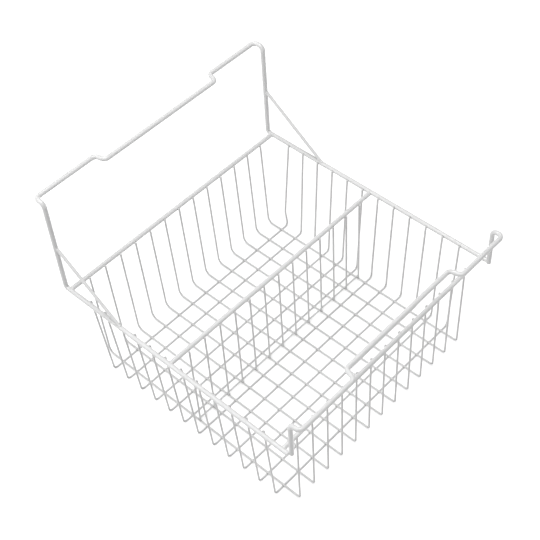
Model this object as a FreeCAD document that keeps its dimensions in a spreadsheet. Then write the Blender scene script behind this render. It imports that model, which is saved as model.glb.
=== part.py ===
import FreeCAD, Part
import math
import os
import Sketcher

# A wire basket: a fine square mesh of U-shaped wires hung from heavier bars, a divider,
# a tall bent frame at the back with two braces, and a raised handle at the front.
# +X is the basket's width, -Y its handle side, +Z up; the origin is under its middle.

CROSSWISE = 12      # U-shaped wires running left to right
LENGTHWISE = 13     # U-shaped wires running back to front

# Sizes in millimetres. Each is written once, here, and everything else follows from them.
SIZES = [
    ("heavy_wire", 6.0, "diameter of the frame, handle and bars"),
    ("mesh_wire", 2.6, "diameter of the fine wires"),
    ("brace_wire", 4.0, "diameter of the two braces"),
    ("weld_sink", 0.2, "how far two round wires sink into each other where they are welded"),
    ("weld_past", 0.5, "how far a fine wire runs past the centre of the wire it hangs from"),
    ("rim_half", 180.3, "half the distance between the two side rims"),
    ("rim_run", 364.4, "from the back uprights to the handle's ears"),
    ("rim_height", 145.3, "centre of the side rims above the base"),
    ("upright_rise", 143.3, "from the side rims up to the top of the back frame"),
    ("handle_rise", 57.1, "from the side rims up to the handle"),
    ("ear_foot", 1.0, "from the rims' centre up to the lower ends of the handle's ears"),
    ("back_reach", 14.3, "how far the back frame's top ends stand out behind it"),
    ("handle_reach", 13.7, "how far the handle's ends stand out in front of its ears"),
    ("grip_setback", 1.6, "how far the handle's middle stands behind its ears"),
    ("ear_inset", 2.3, "how far the ears stand inside the line of the rims"),
    ("bend_share", 0.45, "bend radius as a share of the step it turns"),
    ("jog_run", 4.0, "sideways run of each step in the back frame and the handle"),
    ("step_half", 93.0, "half the length of the stepped middle of the back frame and the handle"),
    ("step_shift", 4.0, "how far that stepped middle stands to the right of the basket's middle"),
    ("frame_bend", 5.0, "bend radius between a rim and its upright"),
    ("back_bar_clear", 1.4, "clear gap between the uprights and the back bar"),
    ("front_bar_clear", 5.8, "clear gap between the ears and the front bar"),
    ("side_inset", 13.4, "from a rim in to the floor's side edge"),
    ("back_inset", 17.5, "from the uprights forward to the floor's back edge"),
    ("front_inset", 16.2, "from the ears back to the floor's front edge"),
    ("side_margin", 14.5, "from the floor's side edge to the first lengthwise wire"),
    ("back_margin", 23.4, "from the floor's back edge to the first crosswise wire"),
    ("front_margin", 26.2, "from the floor's front edge to the last crosswise wire"),
    ("side_bend", 6.0, "bend radius at the floor's side edges"),
    ("back_bend", 9.0, "bend radius at the floor's back edge"),
    ("front_bend", 4.0, "bend radius at the floor's front edge"),
    ("kink_height", 31.0, "height of the dent in the rearmost crosswise wire"),
    ("kink_inset", 5.5, "depth of that dent"),
    ("divider_shift", 2.2, "from the mesh's middle back to the divider's top bar"),
    ("brace_top", 72.0, "from the rims' centre up to where a brace's axis meets its upright"),
    ("brace_foot", 98.0, "from the uprights forward to where a brace's axis meets its rim"),
]

# Sizes worked out from those above.
DERIVED = [
    ("back_y", "(rim_run + handle_reach - back_reach) / 2"),
    ("ear_y", "back_y - rim_run"),
    ("back_out_y", "back_y + back_reach"),
    ("handle_out_y", "ear_y - handle_reach"),
    ("grip_y", "ear_y + grip_setback"),
    ("ear_half", "rim_half - ear_inset"),
    ("rim_front", "ear_y + heavy_wire / 2 - weld_sink"),
    ("bar_half", "rim_half - heavy_wire / 2 + weld_sink"),
    ("top_height", "rim_height + upright_rise"),
    ("grip_height", "rim_height + handle_rise"),
    ("back_corner", "back_reach * bend_share"),
    ("handle_corner", "handle_reach * bend_share"),
    ("back_bar_y", "back_y - heavy_wire - back_bar_clear"),
    ("front_bar_y", "ear_y + heavy_wire + front_bar_clear"),
    ("hang_gap", "(heavy_wire + mesh_wire) / 2 - weld_sink"),
    ("cross_z", "mesh_wire / 2"),
    ("length_z", "cross_z + mesh_wire - weld_sink"),
    ("floor_half", "rim_half - side_inset"),
    ("floor_back", "back_y - back_inset"),
    ("floor_front", "ear_y + front_inset"),
    ("wire_half", "floor_half - side_margin"),
    ("length_pitch", "2 * wire_half / %d" % (LENGTHWISE - 1)),
    ("first_cross_y", "floor_back - back_margin"),
    ("last_cross_y", "floor_front + front_margin"),
    ("cross_pitch", "(first_cross_y - last_cross_y) / %d" % (CROSSWISE - 1)),
    ("hang_half", "rim_half - hang_gap"),
    ("wire_top", "rim_height + weld_past"),
    ("kink_lean", "(hang_half - floor_half) * kink_height / wire_top"),
    ("kink_half", "floor_half + kink_lean - kink_inset"),
    ("divider_y", "(first_cross_y + last_cross_y) / 2 + divider_shift"),
    ("post_y", "divider_y - hang_gap"),
    ("post_foot", "length_z + mesh_wire / 2 - weld_sink"),
    ("sill_y", "post_y + mesh_wire - weld_sink"),
    ("sill_z", "length_z + mesh_wire - weld_sink"),
]

BRACE_SIDES = (("left_brace", "-rim_half"), ("right_brace", "rim_half"))

doc = FreeCAD.newDocument("WireBasket")
sheet = doc.addObject("Spreadsheet::Sheet", "Sizes")


def fill_sheet():
    """Write every size and every worked-out size into the sheet, each under its own name."""
    row = 1
    for name, size, meaning in SIZES:
        sheet.set("A%d" % row, name)
        sheet.set("B%d" % row, str(size))
        sheet.set("C%d" % row, meaning)
        sheet.setAlias("B%d" % row, name)
        row += 1
    doc.recompute()
    for name, formula in DERIVED:
        sheet.set("A%d" % row, name)
        sheet.set("B%d" % row, "=" + formula)
        sheet.setAlias("B%d" % row, name)
        doc.recompute()
        row += 1


def bound(formula):
    """The formula with every size name pointing into the sheet."""
    words = formula.replace("(", " ( ").replace(")", " ) ").split()
    names = {entry[0] for entry in SIZES + DERIVED}
    for index, word in enumerate(words):
        bare = word.lstrip("-")
        if bare in names:
            words[index] = word[: len(word) - len(bare)] + "Sizes." + bare
    return " ".join(words)


def value(formula):
    """The formula's value at the present sizes."""
    return float(sheet.evalExpression(bound(formula)))


def origin_plane(body, role):
    """One of a body's three base planes."""
    return next(item for item in body.Origin.OriginFeatures if item.Role == role)


def new_body(label, shift=None):
    """An empty body, moved along X or Y by the formulas in shift."""
    body = doc.addObject("PartDesign::Body", label)
    body.Label = label
    for axis, formula in (shift or {}).items():
        body.setExpression("Placement.Base." + axis, bound(formula))
    return body


def new_sketch(body, name, role, offset=None):
    """A sketch on a base plane of the body, raised along the plane's normal by offset."""
    sketch = body.newObject("Sketcher::SketchObject", name)
    sketch.AttachmentSupport = [(origin_plane(body, role), "")]
    sketch.MapMode = "FlatFace"
    if offset is not None:
        sketch.setExpression("AttachmentOffset.Base.z", bound(offset))
    return sketch


def bind_size(sketch, formula, kind, *targets):
    """Add a sketch size of the given kind that follows a formula."""
    index = sketch.addConstraint(Sketcher.Constraint(kind, *targets, value(formula)))
    sketch.setExpression("Constraints[%d]" % index, bound(formula))


def pin_point(sketch, item, point, across, up):
    """Hold one point of a sketch item at (across, up), both formulas."""
    bind_size(sketch, across, "DistanceX", -1, 1, item, point)
    bind_size(sketch, up, "DistanceY", -1, 1, item, point)


def draw_path(sketch, corners, bends):
    """A wire's centre line: straight runs through the corners, rounded at each inner one.

    corners holds (across, up) formulas and bends one radius formula for each inner corner.
    """
    points = [FreeCAD.Vector(value(across), value(up), 0) for across, up in corners]
    run_starts = list(points)
    run_ends = list(points)
    arcs = []
    for i in range(1, len(points) - 1):
        radius = value(bends[i - 1])
        back = (points[i - 1] - points[i]).normalize()
        ahead = (points[i + 1] - points[i]).normalize()
        half_angle = back.getAngle(ahead) / 2
        trim = radius / math.tan(half_angle)
        centre = points[i] + (back + ahead).normalize() * (radius / math.sin(half_angle))
        run_ends[i] = points[i] + back * trim
        run_starts[i] = points[i] + ahead * trim
        turns_left = ahead.cross(back).z > 0
        arc_ends = [run_ends[i] - centre, run_starts[i] - centre]
        if not turns_left:
            arc_ends.reverse()
        angles = [math.atan2(end.y, end.x) for end in arc_ends]
        if angles[1] < angles[0]:
            angles[1] += 2 * math.pi
        circle = Part.Circle(centre, FreeCAD.Vector(0, 0, 1), radius)
        arcs.append((Part.ArcOfCircle(circle, *angles), turns_left))
    runs = [sketch.addGeometry(Part.LineSegment(run_starts[i], run_ends[i + 1]), False)
            for i in range(len(points) - 1)]
    turns = [sketch.addGeometry(arc, False) for arc, _ in arcs]
    vertices = [sketch.addGeometry(Part.Point(point), True) for point in points]
    for vertex, (across, up) in zip(vertices, corners):
        pin_point(sketch, vertex, 1, across, up)
    sketch.addConstraint(Sketcher.Constraint("Coincident", runs[0], 1, vertices[0], 1))
    sketch.addConstraint(Sketcher.Constraint("Coincident", runs[-1], 2, vertices[-1], 1))
    for i, turn in enumerate(turns, start=1):
        sketch.addConstraint(Sketcher.Constraint("PointOnObject", vertices[i], 1, runs[i - 1]))
        sketch.addConstraint(Sketcher.Constraint("PointOnObject", vertices[i], 1, runs[i]))
        first, last = (1, 2) if arcs[i - 1][1] else (2, 1)
        sketch.addConstraint(Sketcher.Constraint("Tangent", runs[i - 1], 2, turn, first))
        sketch.addConstraint(Sketcher.Constraint("Tangent", runs[i], 1, turn, last))
        bind_size(sketch, bends[i - 1], "Radius", turn)


def draw_round(sketch, diameter, across=None, up=None):
    """A circle of the given diameter, at the sketch's origin or at (across, up)."""
    centre = FreeCAD.Vector(0, 0, 0)
    if across is not None:
        centre = FreeCAD.Vector(value(across), value(up), 0)
    circle = Part.Circle(centre, FreeCAD.Vector(0, 0, 1), value(diameter) / 2)
    index = sketch.addGeometry(circle, False)
    if across is None:
        sketch.addConstraint(Sketcher.Constraint("Coincident", index, 3, -1, 1))
    else:
        pin_point(sketch, index, 3, across, up)
    bind_size(sketch, diameter, "Diameter", index)


def bend_wire(body, name, role, corners, bends, diameter, offset=None):
    """Sweep a round wire along a flat rounded path, joining it to what the body already holds."""
    path = new_sketch(body, name + "_path", role, offset)
    draw_path(path, corners, bends)
    doc.recompute()
    round_end = body.newObject("Sketcher::SketchObject", name + "_round")
    round_end.AttachmentSupport = [(path, "Edge1")]
    round_end.MapMode = "NormalToEdge"
    draw_round(round_end, diameter)
    doc.recompute()
    wire = body.newObject("PartDesign::AdditivePipe", name + "_wire")
    wire.Profile = round_end
    wire.Spine = (path, [])
    doc.recompute()
    return wire


def straight_bar(label, half_length, y, z, diameter):
    """A straight round bar along X, centred on the basket."""
    body = new_body(label, {"y": y, "z": z})
    sketch = new_sketch(body, label + "_round", "YZ_Plane")
    draw_round(sketch, diameter)
    bar = body.newObject("PartDesign::Pad", label + "_bar")
    bar.Profile = sketch
    bar.Midplane = True
    bar.setExpression("Length", bound("2 * (" + half_length + ")"))
    return body


def stepped_run(half, start_y, out_y, middle_y):
    """Corners of a run across the basket: out at both ends, stepped to middle_y in between."""
    half_out = "(%s + %s) / 2" % (start_y, out_y)
    return [("-1 * " + half, half_out), ("-1 * " + half, out_y),
            ("step_shift - step_half - jog_run / 2", out_y),
            ("step_shift - step_half + jog_run / 2", middle_y),
            ("step_shift + step_half - jog_run / 2", middle_y),
            ("step_shift + step_half + jog_run / 2", out_y),
            (half, out_y), (half, half_out)]


def back_frame():
    """The rims, uprights and stepped top of the back frame: one long wire, bent."""
    body = new_body("back_frame")
    side = [("rim_front", "rim_height"), ("back_y", "rim_height"), ("back_y", "top_height"),
            ("(back_y + back_out_y) / 2", "top_height")]
    top = stepped_run("rim_half", "back_y", "back_out_y", "back_y")
    bend_wire(body, "left_side", "YZ_Plane", side, ["frame_bend", "back_corner"],
              "heavy_wire", "-rim_half")
    bend_wire(body, "top", "XY_Plane", top, ["back_corner"] * (len(top) - 2),
              "heavy_wire", "top_height")
    bend_wire(body, "right_side", "YZ_Plane", side, ["frame_bend", "back_corner"],
              "heavy_wire", "rim_half")


def handle():
    """The raised handle: two ears, ends that stand out in front and a stepped-back middle."""
    body = new_body("handle")
    side = [("ear_y", "rim_height + ear_foot"), ("ear_y", "grip_height"),
            ("(ear_y + handle_out_y) / 2", "grip_height")]
    top = stepped_run("ear_half", "ear_y", "handle_out_y", "grip_y")
    bend_wire(body, "left_ear", "YZ_Plane", side, ["handle_corner"], "heavy_wire", "-ear_half")
    bend_wire(body, "grip", "XY_Plane", top, ["handle_corner"] * (len(top) - 2),
              "heavy_wire", "grip_height")
    bend_wire(body, "right_ear", "YZ_Plane", side, ["handle_corner"], "heavy_wire", "ear_half")


def crosswise_wire(number):
    """One U-shaped wire from the left rim down, under the floor and up to the right rim."""
    label = "crosswise_wire_%02d" % (number + 1)
    body = new_body(label, {"y": "first_cross_y - %d * cross_pitch" % number})
    corners = [("-1 * hang_half", "wire_top"), ("-1 * floor_half", "cross_z"),
               ("floor_half", "cross_z"), ("hang_half", "wire_top")]
    bends = ["side_bend", "side_bend"]
    if number == 0:
        # The rearmost wire's right side is dented inwards a little above the floor.
        corners.insert(3, ("kink_half", "kink_height"))
        bends.append("side_bend")
    bend_wire(body, label, "XZ_Plane", corners, bends, "mesh_wire")


def lengthwise_wire(number):
    """One U-shaped wire from the back bar down, along the floor and up to the front bar."""
    label = "lengthwise_wire_%02d" % (number + 1)
    body = new_body(label, {"x": "%d * length_pitch - wire_half" % number})
    corners = [("back_bar_y - hang_gap", "wire_top"), ("floor_back", "length_z"),
               ("floor_front", "length_z"), ("front_bar_y + hang_gap", "wire_top")]
    bend_wire(body, label, "YZ_Plane", corners, ["back_bend", "front_bend"], "mesh_wire")


def divider_post(number):
    """One upright of the divider, standing on a lengthwise wire against the top bar."""
    label = "divider_post_%02d" % (number + 1)
    shift = {"x": "%d * length_pitch - wire_half" % number, "y": "post_y", "z": "post_foot"}
    body = new_body(label, shift)
    sketch = new_sketch(body, label + "_round", "XY_Plane")
    draw_round(sketch, "mesh_wire")
    post = body.newObject("PartDesign::Pad", label + "_post")
    post.Profile = sketch
    post.setExpression("Length", bound("wire_top - post_foot"))


def brace(label, side):
    """One sloping brace, its ends hollowed to sit on the upright and on the rim."""
    body = new_body(label)
    slope = [("back_y - brace_foot", "rim_height"), ("back_y", "rim_height + brace_top")]
    bend_wire(body, label, "YZ_Plane", slope, [], "brace_wire", side)
    hollows = (("upright", "XY_Plane", side, "back_y"), ("rim", "XZ_Plane", side, "rim_height"))
    for name, role, across, up in hollows:
        sketch = new_sketch(body, "%s_%s_round" % (label, name), role)
        draw_round(sketch, "heavy_wire", across, up)
        hollow = body.newObject("PartDesign::Pocket", "%s_%s_hollow" % (label, name))
        hollow.Profile = sketch
        hollow.Type = "ThroughAll"
        hollow.Midplane = True
        doc.recompute()


def check_and_export():
    """Stop on any broken object or shape, then write one STEP file for each body."""
    doc.recompute()
    for item in doc.Objects:
        if "Invalid" in item.State or "Error" in item.State:
            raise RuntimeError("%s is not in a good state: %s" % (item.Name, item.State))
    bodies = [item for item in doc.Objects if item.TypeId == "PartDesign::Body"]
    for body in bodies:
        shape = body.Shape
        if shape.isNull() or not shape.isValid() or len(shape.Solids) != 1 or shape.Volume <= 0:
            raise RuntimeError("%s has no single valid solid" % body.Label)
    os.makedirs("parts", exist_ok=True)
    for body in bodies:
        body.Shape.exportStep(os.path.join("parts", body.Label + ".step"))
    print("%d sub-parts written" % len(bodies))


fill_sheet()
back_frame()
handle()
straight_bar("back_bar", "bar_half", "back_bar_y", "rim_height", "heavy_wire")
straight_bar("front_bar", "bar_half", "front_bar_y", "rim_height", "heavy_wire")
straight_bar("divider_top_bar", "bar_half", "divider_y", "rim_height", "heavy_wire")
straight_bar("divider_floor_wire", "wire_half + mesh_wire / 2", "sill_y", "sill_z", "mesh_wire")
for side_name, side_x in BRACE_SIDES:
    brace(side_name, side_x)
for wire_number in range(CROSSWISE):
    crosswise_wire(wire_number)
for wire_number in range(LENGTHWISE):
    lengthwise_wire(wire_number)
for wire_number in range(LENGTHWISE):
    divider_post(wire_number)
check_and_export()
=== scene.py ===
"""Looks for a white-coated wire basket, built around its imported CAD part.

The CAD gives every wire. This script dresses the wires in a glossy dipped coating, adds the weld
beads and the rounded coated tips that the coating leaves on them, and sets up a pale floor, soft
studio light and a camera. Every length is in metres, in the CAD part's own frame.
"""

import enum
import logging
import math
from dataclasses import dataclass, field
from typing import Any, Sequence

import bpy
from mathutils import Matrix, Vector


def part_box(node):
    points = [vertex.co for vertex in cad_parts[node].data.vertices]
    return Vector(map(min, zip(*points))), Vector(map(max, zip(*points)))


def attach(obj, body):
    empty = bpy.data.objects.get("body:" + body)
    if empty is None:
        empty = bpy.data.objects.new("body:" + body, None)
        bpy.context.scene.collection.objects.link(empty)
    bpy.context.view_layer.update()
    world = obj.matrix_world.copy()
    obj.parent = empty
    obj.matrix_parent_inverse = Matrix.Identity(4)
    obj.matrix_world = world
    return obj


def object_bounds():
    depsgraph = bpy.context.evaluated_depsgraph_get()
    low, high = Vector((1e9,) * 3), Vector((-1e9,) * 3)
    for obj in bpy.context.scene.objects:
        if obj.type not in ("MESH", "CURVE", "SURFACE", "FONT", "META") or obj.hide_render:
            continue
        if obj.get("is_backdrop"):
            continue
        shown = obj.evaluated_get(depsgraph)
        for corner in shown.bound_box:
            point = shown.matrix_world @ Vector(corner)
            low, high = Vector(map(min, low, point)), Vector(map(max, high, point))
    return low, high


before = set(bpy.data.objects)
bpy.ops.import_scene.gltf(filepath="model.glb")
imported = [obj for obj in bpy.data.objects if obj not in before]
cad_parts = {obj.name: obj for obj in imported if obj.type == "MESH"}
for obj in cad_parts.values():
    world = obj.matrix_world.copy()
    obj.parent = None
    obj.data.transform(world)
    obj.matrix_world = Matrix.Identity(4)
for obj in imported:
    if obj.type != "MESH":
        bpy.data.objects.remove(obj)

LOG = logging.getLogger("wire_basket")
ROOT = "root"
NOISE_MIDDLE = 0.5  # of the 0 to 1 that a noise gives


# ---------------------------------------------------------------------------------------------
# Nodes and shader maths
# ---------------------------------------------------------------------------------------------


class Signal:
    """A shader node's output socket that takes part in Python arithmetic."""

    def __init__(self, graph: "ShaderGraph", socket: bpy.types.NodeSocket) -> None:
        """Wrap one output socket.

        Args:
            graph: The graph that the socket's node stands in.
            socket: The output socket.
        """
        self.graph = graph
        self.socket = socket

    def _math(self, operation: str, first: "Signal | float",
              second: "Signal | float") -> "Signal":
        """Add one Math node and return its output.

        Args:
            operation: The Math node's operation.
            first: A Signal or a number for the first socket.
            second: A Signal or a number for the second socket.

        Returns:
            The node's output as a Signal.
        """
        return self.graph.node("ShaderNodeMath", {"operation": operation}, {0: first, 1: second})

    def __add__(self, other: "Signal | float") -> "Signal":
        """This signal plus another one or a number."""
        return self._math("ADD", self, other)

    def __radd__(self, other: "Signal | float") -> "Signal":
        """A number plus this signal."""
        return self._math("ADD", other, self)

    def __sub__(self, other: "Signal | float") -> "Signal":
        """This signal less another one or a number."""
        return self._math("SUBTRACT", self, other)

    def __rsub__(self, other: "Signal | float") -> "Signal":
        """A number less this signal."""
        return self._math("SUBTRACT", other, self)

    def __mul__(self, other: "Signal | float") -> "Signal":
        """This signal times another one or a number."""
        return self._math("MULTIPLY", self, other)

    def __rmul__(self, other: "Signal | float") -> "Signal":
        """A number times this signal."""
        return self._math("MULTIPLY", other, self)

    def __pow__(self, other: "Signal | float") -> "Signal":
        """This signal raised to a power."""
        return self._math("POWER", self, other)

    def __rpow__(self, other: "Signal | float") -> "Signal":
        """A number raised to this signal."""
        return self._math("POWER", other, self)


def add_node(tree: bpy.types.NodeTree, kind: str, settings: dict[str, Any] | None = None,
             sockets: dict[Any, Any] | None = None) -> bpy.types.NodeOutputs:
    """Add a node to a tree: its settings first, then the values and links of its sockets.

    Args:
        tree: The material's or the geometry's node tree.
        kind: The node's type.
        settings: Attributes of the node.
        sockets: Values, output sockets or Signals by the input socket's name or index.

    Returns:
        The node's outputs.
    """
    made = tree.nodes.new(kind)
    for key, setting in (settings or {}).items():
        setattr(made, key, setting)
    for key, given in (sockets or {}).items():
        source = given.socket if isinstance(given, Signal) else given
        if isinstance(source, bpy.types.NodeSocket):
            tree.links.new(source, made.inputs[key])
        else:
            made.inputs[key].default_value = source
    return made.outputs


class ShaderGraph:
    """The node tree of one material, built node by node."""

    # The Mix node's colour sockets by place, because its numbers and vectors use the same names.
    FIRST_COLOUR = 6
    SECOND_COLOUR = 7
    MIXED_COLOUR = 2

    def __init__(self, name: str) -> None:
        """Start an empty material.

        Args:
            name: The material's name.
        """
        self.material = bpy.data.materials.new(name)
        self.material.use_nodes = True
        self.tree = self.material.node_tree
        self.tree.nodes.clear()

    def node(self, kind: str, settings: dict[str, Any] | None = None,
             sockets: dict[Any, Any] | None = None, output: Any = 0) -> Signal:
        """Add a node to the material.

        Args:
            kind: The node's type.
            settings: Attributes of the node, set before its sockets.
            sockets: Values or Signals by the input socket's name or index.
            output: The name or index of the output to return.

        Returns:
            The chosen output as a Signal.
        """
        return Signal(self, add_node(self.tree, kind, settings, sockets)[output])

    def blend(self, factor: Signal, first: Sequence[float], second: Sequence[float]) -> Signal:
        """Mix two colours by a factor.

        Args:
            factor: 0 gives the first colour and 1 the second.
            first: The first colour, as red, green, blue.
            second: The second colour.

        Returns:
            The mixed colour.
        """
        inputs = {"Factor": factor, self.FIRST_COLOUR: (*first, 1.0),
                  self.SECOND_COLOUR: (*second, 1.0)}
        return self.node("ShaderNodeMix", {"data_type": "RGBA"}, inputs, self.MIXED_COLOUR)

    def finish(self, surface: Signal) -> bpy.types.Material:
        """Join the surface to the material's output.

        Args:
            surface: The shader to show.

        Returns:
            The finished material.
        """
        add_node(self.tree, "ShaderNodeOutputMaterial", None, {"Surface": surface})
        return self.material


# ---------------------------------------------------------------------------------------------
# Finishes
# ---------------------------------------------------------------------------------------------


@dataclass(frozen=True)
class DippedCoating:
    """Glossy white coating, dipped on: a little uneven in tone, gloss and thickness."""

    name: str
    slot: str
    clean: tuple[float, float, float] = (0.84, 0.84, 0.84)
    pooled: tuple[float, float, float] = (0.77, 0.77, 0.765)
    patch_scale: float = 22.0
    patch_detail: float = 3.0
    patch_falloff: float = 2.0
    peel_scale: float = 900.0
    peel_detail: float = 2.0
    roughness: float = 0.30
    roughness_spread: float = 0.16
    peel_depth: float = 0.00006
    peel_strength: float = 0.25
    coat: float = 0.35
    coat_roughness: float = 0.12

    def build(self) -> bpy.types.Material:
        """Make the material.

        Returns:
            The material, patterned on Object coordinates.
        """
        graph = ShaderGraph(self.name)
        place = graph.node("ShaderNodeTexCoord", output="Object")
        patches = graph.node("ShaderNodeTexNoise", {"noise_dimensions": "3D"},
                             {"Vector": place, "Scale": self.patch_scale,
                              "Detail": self.patch_detail})
        peel = graph.node("ShaderNodeTexNoise", {"noise_dimensions": "3D"},
                          {"Vector": place, "Scale": self.peel_scale,
                           "Detail": self.peel_detail})
        tone = graph.blend(patches ** self.patch_falloff, self.clean, self.pooled)
        gloss = self.roughness + (patches - NOISE_MIDDLE) * self.roughness_spread
        bump = graph.node("ShaderNodeBump", None, {
            "Strength": self.peel_strength, "Distance": self.peel_depth, "Height": peel})
        surface = graph.node("ShaderNodeBsdfPrincipled", None, {
            "Base Color": tone, "Roughness": gloss, "Normal": bump,
            "Coat Weight": self.coat, "Coat Roughness": self.coat_roughness})
        return graph.finish(surface)


@dataclass(frozen=True)
class StudioPaper:
    """Plain pale sheet under the basket, with a faint even glow of its own."""

    name: str = "studio_paper"
    tone: tuple[float, float, float] = (0.93, 0.93, 0.93)
    roughness: float = 0.9
    glow: float = 0.50

    def build(self) -> bpy.types.Material:
        """Make the material of one even tone."""
        graph = ShaderGraph(self.name)
        surface = graph.node("ShaderNodeBsdfPrincipled", None, {
            "Base Color": (*self.tone, 1.0), "Roughness": self.roughness,
            "Specular IOR Level": 0.0, "Emission Color": (*self.tone, 1.0),
            "Emission Strength": self.glow})
        return graph.finish(surface)


class Coating(enum.Enum):
    """The wire coatings, each on its own gauge of wire. The mesh coating is the frame's white toned
    darker, as painted shade on the thin wires, and the much darker weld coating on the fine welds is
    painted shade where the wires cross and meet.
    """

    FRAME = DippedCoating("frame_coating", "frame_coating")
    BRACE = DippedCoating("brace_coating", "brace_coating", peel_scale=1100.0)
    # Painted shade: the fine mesh wears the same white coating as the frame, toned darker to stand
    # in for the shade on the thin wires.
    MESH = DippedCoating("mesh_coating", "mesh_coating", patch_scale=35.0, peel_scale=1400.0,
                         clean=(0.76, 0.76, 0.76), pooled=(0.67, 0.67, 0.665))
    # Painted shade: the weld beads are toned much darker than the wires, standing in for the shade
    # where the wires cross and meet.
    SHADED_WELD = DippedCoating("weld_painted_shade", "mesh_coating", patch_scale=60.0, peel_scale=1400.0,
                         clean=(0.58, 0.58, 0.58), pooled=(0.48, 0.48, 0.475))


# ---------------------------------------------------------------------------------------------
# Places taken from the CAD part
# ---------------------------------------------------------------------------------------------


@dataclass(frozen=True)
class Box:
    """A CAD node's box at rest."""

    low: Vector
    high: Vector

    @classmethod
    def of(cls, node: str) -> "Box":
        """The box of the named CAD node."""
        return cls(*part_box(node))

    @property
    def middle(self) -> Vector:
        """The box's centre."""
        return (self.low + self.high) / 2

    @property
    def size(self) -> Vector:
        """The box's three lengths."""
        return self.high - self.low


def numbered(prefix: str) -> list[str]:
    """The CAD nodes whose names start with a prefix, in order.

    Args:
        prefix: The start of the names.

    Returns:
        The sorted names.
    """
    return sorted(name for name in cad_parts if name.startswith(prefix))


@dataclass(frozen=True)
class WirePlan:
    """Where the wires meet, worked out from the CAD nodes' boxes."""

    heavy: float
    mesh: float
    brace: float
    rim_x: float
    rim_z: float
    ear_x: float
    ear_y: float
    crosswise: list[str]
    lengthwise: list[str]
    posts: list[str]

    @classmethod
    def from_frame(cls) -> "WirePlan":
        """Read the wire gauges and the rims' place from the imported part."""
        bar, frame_box, grip = Box.of("back_bar"), Box.of("back_frame"), Box.of("handle")
        heavy = bar.size.z
        return cls(heavy=heavy, mesh=Box.of("divider_floor_wire").size.z,
                   brace=Box.of("left_brace").size.x, rim_x=frame_box.high.x - heavy / 2,
                   rim_z=frame_box.low.z + heavy / 2, ear_x=grip.high.x - heavy / 2,
                   ear_y=frame_box.low.y - heavy / 2,
                   crosswise=numbered("crosswise_wire_"),
                   lengthwise=numbered("lengthwise_wire_"), posts=numbered("divider_post_"))


def stride(wires: Sequence[str]) -> Vector:
    """The step from one repeated wire to the next.

    Args:
        wires: The wires' CAD nodes, in order and evenly spaced.

    Returns:
        The step as a vector.
    """
    return (Box.of(wires[-1]).middle - Box.of(wires[0]).middle) / (len(wires) - 1)


def bead_radii(wire: float, across: float, along: float, upward: float) -> Vector:
    """A bead's radii, from its size against the wire that it sits on.

    Args:
        wire: The wire's radius.
        across: The bead's size along X as a share of the wire's.
        along: The same along Y.
        upward: The same along Z.

    Returns:
        The three radii.
    """
    return Vector((wire * across, wire * along, wire * upward))


# ---------------------------------------------------------------------------------------------
# Geometry Nodes: a bead at every point of a row or a grid
# ---------------------------------------------------------------------------------------------


@dataclass
class BeadRow:
    """One row or grid of beads of nearly one size, such as the welds along a bar."""

    name: str
    coating: Coating
    start: Vector
    radii: Vector
    step: Vector = field(default_factory=Vector)
    count: int = 1
    row_step: Vector = field(default_factory=Vector)
    rows: int = 1
    spread: float = 0.10
    seed: int = 7

    def inputs(self, material: bpy.types.Material) -> dict[str, Any]:
        """The values of the bead tree's named inputs.

        Args:
            material: The coating of the beads.

        Returns:
            Each input's value by its name.
        """
        return {"Start": self.start, "Step": self.step, "Count": self.count,
                "Row Step": self.row_step, "Rows": self.rows, "Radii": self.radii,
                "Spread": self.spread, "Seed": self.seed, "Coating": material}


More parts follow.
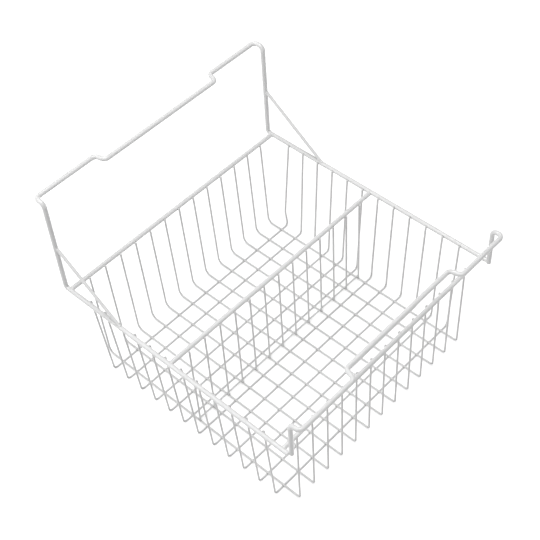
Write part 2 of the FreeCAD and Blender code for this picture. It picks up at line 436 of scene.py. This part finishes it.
class BeadTree:
    """The Geometry Nodes tree that puts a smooth bead at every point of a grid."""

    INPUTS = (("Start", "NodeSocketVector"), ("Step", "NodeSocketVector"),
              ("Count", "NodeSocketInt"), ("Row Step", "NodeSocketVector"),
              ("Rows", "NodeSocketInt"), ("Radii", "NodeSocketVector"),
              ("Spread", "NodeSocketFloat"), ("Seed", "NodeSocketInt"),
              ("Coating", "NodeSocketMaterial"))
    SEGMENTS = 10
    RINGS = 6
    # The Random Value node's number sockets by place, because its vectors use the same names.
    LEAST = 2
    MOST = 3
    NUMBER = 1

    def __init__(self) -> None:
        """Build the tree once, for every row to share."""
        self.tree = bpy.data.node_groups.new("bead_rows", "GeometryNodeTree")
        face = self.tree.interface
        face.new_socket(name="Geometry", in_out="OUTPUT", socket_type="NodeSocketGeometry")
        self.sockets = {name: face.new_socket(name=name, in_out="INPUT", socket_type=kind)
                        for name, kind in self.INPUTS}
        self.given = self.tree.nodes.new("NodeGroupInput").outputs
        self._build()

    def _node(self, *details: Any) -> bpy.types.NodeOutputs:
        """Add one node to this tree, described as add_node takes it."""
        return add_node(self.tree, *details)

    def _build(self) -> None:
        """Lay the grid, shape the bead, spread it over the grid and coat it."""
        given = self.given
        offset_mode = {"mode": "OFFSET", "count_mode": "TOTAL"}
        row = self._node("GeometryNodeMeshLine", offset_mode, {
            "Count": given["Count"], "Start Location": given["Start"],
            "Offset": given["Step"]})["Mesh"]
        column = self._node("GeometryNodeMeshLine", offset_mode, {
            "Count": given["Rows"], "Offset": given["Row Step"]})["Mesh"]
        rows = self._node("GeometryNodeInstanceOnPoints", None,
                          {"Points": row, "Instance": column})["Instances"]
        grid = self._node("GeometryNodeRealizeInstances", None, {"Geometry": rows})["Geometry"]
        ball = self._node("GeometryNodeMeshUVSphere", None, {
            "Segments": self.SEGMENTS, "Rings": self.RINGS, "Radius": 1.0})["Mesh"]
        bead = self._node("GeometryNodeTransform", None,
                          {"Geometry": ball, "Scale": given["Radii"]})["Geometry"]
        least = self._node("ShaderNodeMath", {"operation": "SUBTRACT"},
                           {0: 1.0, 1: given["Spread"]})[0]
        most = self._node("ShaderNodeMath", {"operation": "ADD"},
                          {0: 1.0, 1: given["Spread"]})[0]
        size = self._node("FunctionNodeRandomValue", {"data_type": "FLOAT"},
                          {self.LEAST: least, self.MOST: most,
                           "Seed": given["Seed"]})[self.NUMBER]
        beads = self._node("GeometryNodeInstanceOnPoints", None, {
            "Points": grid, "Instance": bead, "Scale": size})["Instances"]
        solid = self._node("GeometryNodeRealizeInstances", None, {"Geometry": beads})["Geometry"]
        smooth = self._node("GeometryNodeSetShadeSmooth", None, {"Geometry": solid})["Geometry"]
        coated = self._node("GeometryNodeSetMaterial", None,
                            {"Geometry": smooth, "Material": given["Coating"]})["Geometry"]
        self._node("NodeGroupOutput", None, {"Geometry": coated})

    def grow(self, row: BeadRow, material: bpy.types.Material) -> bpy.types.Object:
        """Run the tree for one row and keep its result as a plain mesh piece.

        Args:
            row: The row to make.
            material: The coating it wears.

        Returns:
            The finished piece, its object at the origin.
        """
        seedling = bpy.data.objects.new(row.name + "_tree", bpy.data.meshes.new(row.name))
        bpy.context.collection.objects.link(seedling)
        modifier = seedling.modifiers.new("beads", "NODES")
        modifier.node_group = self.tree
        for name, given in row.inputs(material).items():
            modifier[self.sockets[name].identifier] = given
        depsgraph = bpy.context.evaluated_depsgraph_get()
        mesh = bpy.data.meshes.new_from_object(seedling.evaluated_get(depsgraph))
        bpy.data.objects.remove(seedling)
        mesh.name = row.name
        piece = bpy.data.objects.new(row.name, mesh)
        bpy.context.collection.objects.link(piece)
        return piece


# ---------------------------------------------------------------------------------------------
# Sub-assemblies
# ---------------------------------------------------------------------------------------------


class Workshop:
    """Holds the made materials and the bead tree, and hands finished pieces to the frame."""

    def __init__(self) -> None:
        """Build each coating and the bead tree once."""
        self.materials = {coating: coating.value.build() for coating in Coating}
        self.beads = BeadTree()

    def dress(self, nodes: Sequence[str], coating: Coating) -> None:
        """Give CAD nodes their coating.

        Args:
            nodes: The CAD nodes' names.
            coating: The coating they wear.
        """
        for name in nodes:
            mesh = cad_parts[name].data
            mesh.materials.clear()
            mesh.materials.append(self.materials[coating])
        LOG.info("dressed %d wires in %s", len(nodes), coating.value.name)

    def add_beads(self, rows: Sequence[BeadRow]) -> None:
        """Make each row of beads and fix it to the basket.

        Args:
            rows: The rows to make.
        """
        for row in rows:
            piece = self.beads.grow(row, self.materials[row.coating])
            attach(piece, ROOT)
            LOG.info("made %s: %d faces", row.name, len(piece.data.polygons))


@dataclass
class MeshWires:
    """The fine mesh: crosswise and lengthwise wires, their welds and their coated tips.

    The widths and heights of the beads are shares of the wire's radius.
    """

    plan: WirePlan
    weld_width: float = 1.28
    weld_height: float = 0.95
    hang_height: float = 1.5
    tip_height: float = 0.6
    tip_width: float = 1.01
    floor_spread: float = 0.09
    rim_seed: int = 11
    bar_seed: int = 17

    def floor_welds(self) -> BeadRow:
        """A bead between the two layers at every crossing of the floor."""
        plan = self.plan
        crosswise, lengthwise = plan.crosswise, plan.lengthwise
        first_cross, first_length = Box.of(crosswise[0]), Box.of(lengthwise[0])
        layer = (first_cross.low.z + plan.mesh + first_length.low.z) / 2
        start = Vector((first_length.middle.x, first_cross.middle.y, layer))
        radii = bead_radii(plan.mesh / 2, self.weld_width, self.weld_width, self.weld_height)
        # The beads wear the darker weld coating: painted shade at each crossing of the floor.
        return BeadRow("floor_welds", Coating.SHADED_WELD, start, radii,
                       step=stride(lengthwise), count=len(lengthwise),
                       row_step=stride(crosswise), rows=len(crosswise),
                       spread=self.floor_spread)

    def rim_welds(self) -> list[BeadRow]:
        """Beads where the crosswise wires hang from the inner faces of the rims."""
        plan = self.plan
        radii = bead_radii(plan.mesh / 2, self.weld_height, self.weld_width, self.hang_height)
        first_y = Box.of(plan.crosswise[0]).middle.y
        rows = []
        for side, sign in (("left", -1), ("right", 1)):
            face = sign * (plan.rim_x - plan.heavy / 2)
            start = Vector((face, first_y, plan.rim_z))
            # The darker weld coating here is painted shade where the wires hang from the rims.
            rows.append(BeadRow(f"{side}_rim_welds", Coating.SHADED_WELD, start, radii,
                                step=stride(plan.crosswise), count=len(plan.crosswise),
                                seed=self.rim_seed + sign))
        return rows

    def bar_welds(self) -> list[BeadRow]:
        """Beads where the lengthwise wires hang from the back and front bars."""
        plan = self.plan
        radii = bead_radii(plan.mesh / 2, self.weld_width, self.weld_height, self.hang_height)
        first_x = Box.of(plan.lengthwise[0]).middle.x
        rows = []
        for bar, sign in (("back_bar", -1), ("front_bar", 1)):
            middle = Box.of(bar).middle
            start = Vector((first_x, middle.y + sign * plan.heavy / 2, middle.z))
            # The darker weld coating here is painted shade where the wires hang from the bars.
            rows.append(BeadRow(f"{bar}_welds", Coating.SHADED_WELD, start, radii,
                                step=stride(plan.lengthwise), count=len(plan.lengthwise),
                                seed=self.bar_seed + sign))
        return rows

    def tips(self) -> list[BeadRow]:
        """The rounded coating on the cut top ends of the mesh wires."""
        plan = self.plan
        wire = plan.mesh / 2
        radii = bead_radii(wire, self.tip_width, self.tip_width, self.tip_height)
        cross, length = Box.of(plan.crosswise[0]), Box.of(plan.lengthwise[0])
        rows = []
        for side, edge, sign in (("left", cross.low.x, 1), ("right", cross.high.x, -1)):
            start = Vector((edge + sign * wire, cross.middle.y, cross.high.z))
            rows.append(BeadRow(f"{side}_wire_tips", Coating.MESH, start, radii,
                                step=stride(plan.crosswise), count=len(plan.crosswise),
                                spread=0.0))
        for side, edge, sign in (("front", length.low.y, 1), ("back", length.high.y, -1)):
            start = Vector((length.middle.x, edge + sign * wire, length.high.z))
            rows.append(BeadRow(f"{side}_wire_tips", Coating.MESH, start, radii,
                                step=stride(plan.lengthwise), count=len(plan.lengthwise),
                                spread=0.0))
        return rows

    def build(self, shop: Workshop) -> None:
        """Dress the wires and add their welds and tips.

        Args:
            shop: The workshop that makes and fixes the pieces.
        """
        # The mesh coating is toned darker than the frame's: painted shade on the thin wires.
        shop.dress(self.plan.crosswise + self.plan.lengthwise, Coating.MESH)
        shop.add_beads([self.floor_welds(), *self.rim_welds(), *self.bar_welds(), *self.tips()])


@dataclass
class Divider:
    """The divider: its heavy top bar, its posts and the wire that joins their feet.

    The widths and heights of the beads are shares of the wire's radius.
    """

    plan: WirePlan
    weld_width: float = 1.25
    weld_height: float = 0.9
    hang_height: float = 1.5
    tip_height: float = 0.6
    top_seed: int = 23
    foot_seed: int = 29
    sill_seed: int = 31

    def post_rows(self) -> list[BeadRow]:
        """Welds at the posts' tops and feet and at the foot wire, and the posts' rounded tips."""
        posts = self.plan.posts
        wire = self.plan.mesh / 2
        post, sill, bar = Box.of(posts[0]), Box.of("divider_floor_wire"), Box.of("divider_top_bar")
        x, y = post.middle.x, post.middle.y
        wide, flat = self.weld_width, self.weld_height
        row = {"step": stride(posts), "count": len(posts)}
        # The three weld rows wear the darker weld coating, painted shade where the posts meet the
        # bar and the foot wire.
        return [
            BeadRow("post_top_welds", Coating.SHADED_WELD, Vector((x, bar.low.y, bar.middle.z)),
                    bead_radii(wire, wide, flat, self.hang_height), seed=self.top_seed, **row),
            BeadRow("post_foot_welds", Coating.SHADED_WELD, Vector((x, y, post.low.z)),
                    bead_radii(wire, wide, wide, flat), seed=self.foot_seed, **row),
            BeadRow("sill_welds", Coating.SHADED_WELD, Vector((x, post.high.y, sill.middle.z)),
                    bead_radii(wire, wide, flat, wide), seed=self.sill_seed, **row),
            BeadRow("post_tips", Coating.MESH, Vector((x, y, post.high.z)),
                    bead_radii(wire, 1.0, 1.0, self.tip_height), spread=0.0, **row)]

    def build(self, shop: Workshop) -> None:
        """Dress the divider and add its welds and tips.

        Args:
            shop: The workshop that makes and fixes the pieces.
        """
        # The mesh coating is toned darker than the frame's: painted shade on the thin posts and foot
        # wire.
        shop.dress([*self.plan.posts, "divider_floor_wire"], Coating.MESH)
        shop.dress(["divider_top_bar"], Coating.FRAME)
        shop.add_beads(self.post_rows())


@dataclass
class HeavyFrame:
    """The heavy wires: back frame, handle, bars and braces, with their welds and ends.

    The sizes of the beads are shares of the wire's radius, and each spread is how much the beads
    of one row differ in size.
    """

    plan: WirePlan
    weld_width: float = 0.95
    weld_height: float = 0.5
    ring_width: float = 1.15
    end_bulge: float = 0.12
    brace_top_length: float = 1.5
    brace_foot_length: float = 1.6
    bar_spread: float = 0.03
    ear_spread: float = 0.04
    brace_spread: float = 0.05

    def bar_rows(self) -> list[BeadRow]:
        """Weld rings where the ends of each bar meet the inner faces of the rims."""
        plan = self.plan
        wire = plan.heavy / 2
        face = plan.rim_x - wire
        ring = bead_radii(wire, self.weld_height, self.ring_width, self.weld_width)
        rows = []
        for bar in ("back_bar", "divider_top_bar", "front_bar"):
            middle = Box.of(bar).middle
            rows.append(BeadRow(f"{bar}_end_welds", Coating.FRAME,
                                Vector((-face, middle.y, middle.z)), ring,
                                step=Vector((2 * face, 0, 0)), count=2, spread=self.bar_spread))
        return rows

    def ear_rows(self) -> list[BeadRow]:
        """Welds where the rims meet the handle's ears, and the ears' rounded lower ends."""
        plan = self.plan
        wire = plan.heavy / 2
        foot = Box.of("handle").low.z
        joint_x = (plan.rim_x + plan.ear_x) / 2
        joint = Vector((-joint_x, plan.ear_y + wire, (plan.rim_z + wire + foot) / 2))
        end = Vector((-plan.ear_x, plan.ear_y, foot))
        return [
            BeadRow("ear_welds", Coating.FRAME, joint,
                    bead_radii(wire, self.weld_width, self.weld_height, self.weld_width),
                    step=Vector((2 * joint_x, 0, 0)), count=2, spread=self.ear_spread),
            BeadRow("ear_ends", Coating.FRAME, end,
                    bead_radii(wire, 1.0, 1.0, self.end_bulge),
                    step=Vector((2 * plan.ear_x, 0, 0)), count=2, spread=0.0)]

    def brace_rows(self) -> list[BeadRow]:
        """Welds at the upper and lower ends of the braces."""
        plan = self.plan
        wire = plan.brace / 2
        left = Box.of("left_brace")
        pair = Vector((Box.of("right_brace").middle.x - left.middle.x, 0, 0))
        top = Vector((left.middle.x, left.high.y, left.high.z - wire))
        foot = Vector((left.middle.x, left.low.y + wire, left.low.z + wire * self.weld_height))
        return [
            BeadRow("brace_top_welds", Coating.BRACE, top,
                    bead_radii(wire, 1.0, self.weld_height, self.brace_top_length),
                    step=pair, count=2, spread=self.brace_spread),
            BeadRow("brace_foot_welds", Coating.BRACE, foot,
                    bead_radii(wire, 1.0, self.brace_foot_length, self.weld_height),
                    step=pair, count=2, spread=self.brace_spread)]

    def build(self, shop: Workshop) -> None:
        """Dress the heavy wires and add their welds and ends.

        Args:
            shop: The workshop that makes and fixes the pieces.
        """
        shop.dress(["back_frame", "handle", "back_bar", "front_bar"], Coating.FRAME)
        shop.dress(["left_brace", "right_brace"], Coating.BRACE)
        shop.add_beads(self.bar_rows() + self.ear_rows() + self.brace_rows())


# ---------------------------------------------------------------------------------------------
# Studio
# ---------------------------------------------------------------------------------------------


def direction(azimuth: float, elevation: float) -> Vector:
    """The way from the basket towards a place around it.

    Args:
        azimuth: Degrees round from the front, growing towards +X.
        elevation: Degrees above the floor.

    Returns:
        The unit vector.
    """
    turn, rise = math.radians(azimuth), math.radians(elevation)
    return Vector((math.sin(turn) * math.cos(rise), -math.cos(turn) * math.cos(rise),
                   math.sin(rise)))


@dataclass(frozen=True)
class SoftBox:
    """A square soft light that faces the basket and stays out of the picture itself."""

    name: str
    azimuth: float
    elevation: float
    distance: float
    size: float
    power: float

    def place(self, target: Vector) -> None:
        """Hang the light so that it shines on the target.

        Args:
            target: The point that it faces.
        """
        data = bpy.data.lights.new(self.name, "AREA")
        data.shape = "SQUARE"
        data.size = self.size
        data.energy = self.power
        lamp = bpy.data.objects.new(self.name, data)
        lamp.visible_camera = False
        bpy.context.collection.objects.link(lamp)
        towards = direction(self.azimuth, self.elevation)
        lamp.location = target + towards * self.distance
        lamp.rotation_euler = towards.to_track_quat("Z", "Y").to_euler()


@dataclass(frozen=True)
class Viewpoint:
    """Where the camera stands and how it is turned."""

    azimuth: float = -44.941
    elevation: float = 48.980
    roll: float = 3.663
    distance: float = 1.6052
    target: tuple[float, float, float] = (0.0914, 0.08865, 0.0)
    lens: float = 77.84
    shift: tuple[float, float] = (-0.0173, 0.0066)
    sensor: float = 36.0
    nearest: float = 0.01
    farthest: float = 100.0

    def place(self) -> None:
        """Make the camera and give it to the scene."""
        data = bpy.data.cameras.new("basket_camera")
        data.lens = self.lens
        data.sensor_width = self.sensor
        data.shift_x, data.shift_y = self.shift
        data.clip_start, data.clip_end = self.nearest, self.farthest
        camera = bpy.data.objects.new("basket_camera", data)
        bpy.context.collection.objects.link(camera)
        back = direction(self.azimuth, self.elevation)
        turn = math.radians(self.azimuth)
        level = Vector((math.cos(turn), math.sin(turn), 0.0))
        upright = back.cross(level)
        lean = math.radians(self.roll)
        right = level * math.cos(lean) - upright * math.sin(lean)
        up = level * math.sin(lean) + upright * math.cos(lean)
        turned = Matrix((right, up, back)).transposed().to_4x4()
        camera.matrix_world = Matrix.Translation(Vector(self.target) + back * self.distance) @ turned
        bpy.context.scene.camera = camera


@dataclass(frozen=True)
class Studio:
    """The floor, the lights and the even light of the room.

    The bounce light lies just above the floor and shines up, as light thrown back by the sheet.
    """

    floor_half: float = 15.0
    room_tone: tuple[float, float, float] = (1.0, 1.0, 1.0)
    room_strength: float = 0.28
    lights: tuple[SoftBox, ...] = (
        SoftBox("key_softbox", azimuth=-120.0, elevation=38.0, distance=2.2, size=1.2, power=11.0),
        SoftBox("top_softbox", azimuth=-90.0, elevation=84.0, distance=2.0, size=1.4, power=28.0),
        SoftBox("floor_bounce", azimuth=0.0, elevation=-90.0, distance=0.14, size=2.4, power=5.0),
    )

    def build(self, target: Vector) -> None:
        """Lay the floor, hang the lights and set the room's light.

        Args:
            target: The point that the lights face.
        """
        half = self.floor_half
        corners = [(-half, -half, 0), (half, -half, 0), (half, half, 0), (-half, half, 0)]
        mesh = bpy.data.meshes.new("studio_floor")
        mesh.from_pydata(corners, [], [(0, 1, 2, 3)])
        mesh.materials.append(StudioPaper().build())
        floor = bpy.data.objects.new("studio_floor", mesh)
        bpy.context.collection.objects.link(floor)
        floor.visible_diffuse = False
        floor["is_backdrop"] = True
        for light in self.lights:
            light.place(target)
        world = bpy.data.worlds.new("studio_room")
        world.use_nodes = True
        room = world.node_tree.nodes["Background"]
        room.inputs["Color"].default_value = (*self.room_tone, 1.0)
        room.inputs["Strength"].default_value = self.room_strength
        bpy.context.scene.world = world
        bpy.context.scene.view_settings.view_transform = "Standard"
        LOG.info("studio ready: %d soft lights", len(self.lights))


def main() -> None:
    """Build the basket's looks and the studio around it."""
    logging.basicConfig(level=logging.INFO, format="%(name)s: %(message)s")
    cad_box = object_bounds()
    plan = WirePlan.from_frame()
    shop = Workshop()
    MeshWires(plan).build(shop)
    Divider(plan).build(shop)
    HeavyFrame(plan).build(shop)
    Studio().build((cad_box[0] + cad_box[1]) / 2)
    Viewpoint().place()


if __name__ == "__main__":
    main()
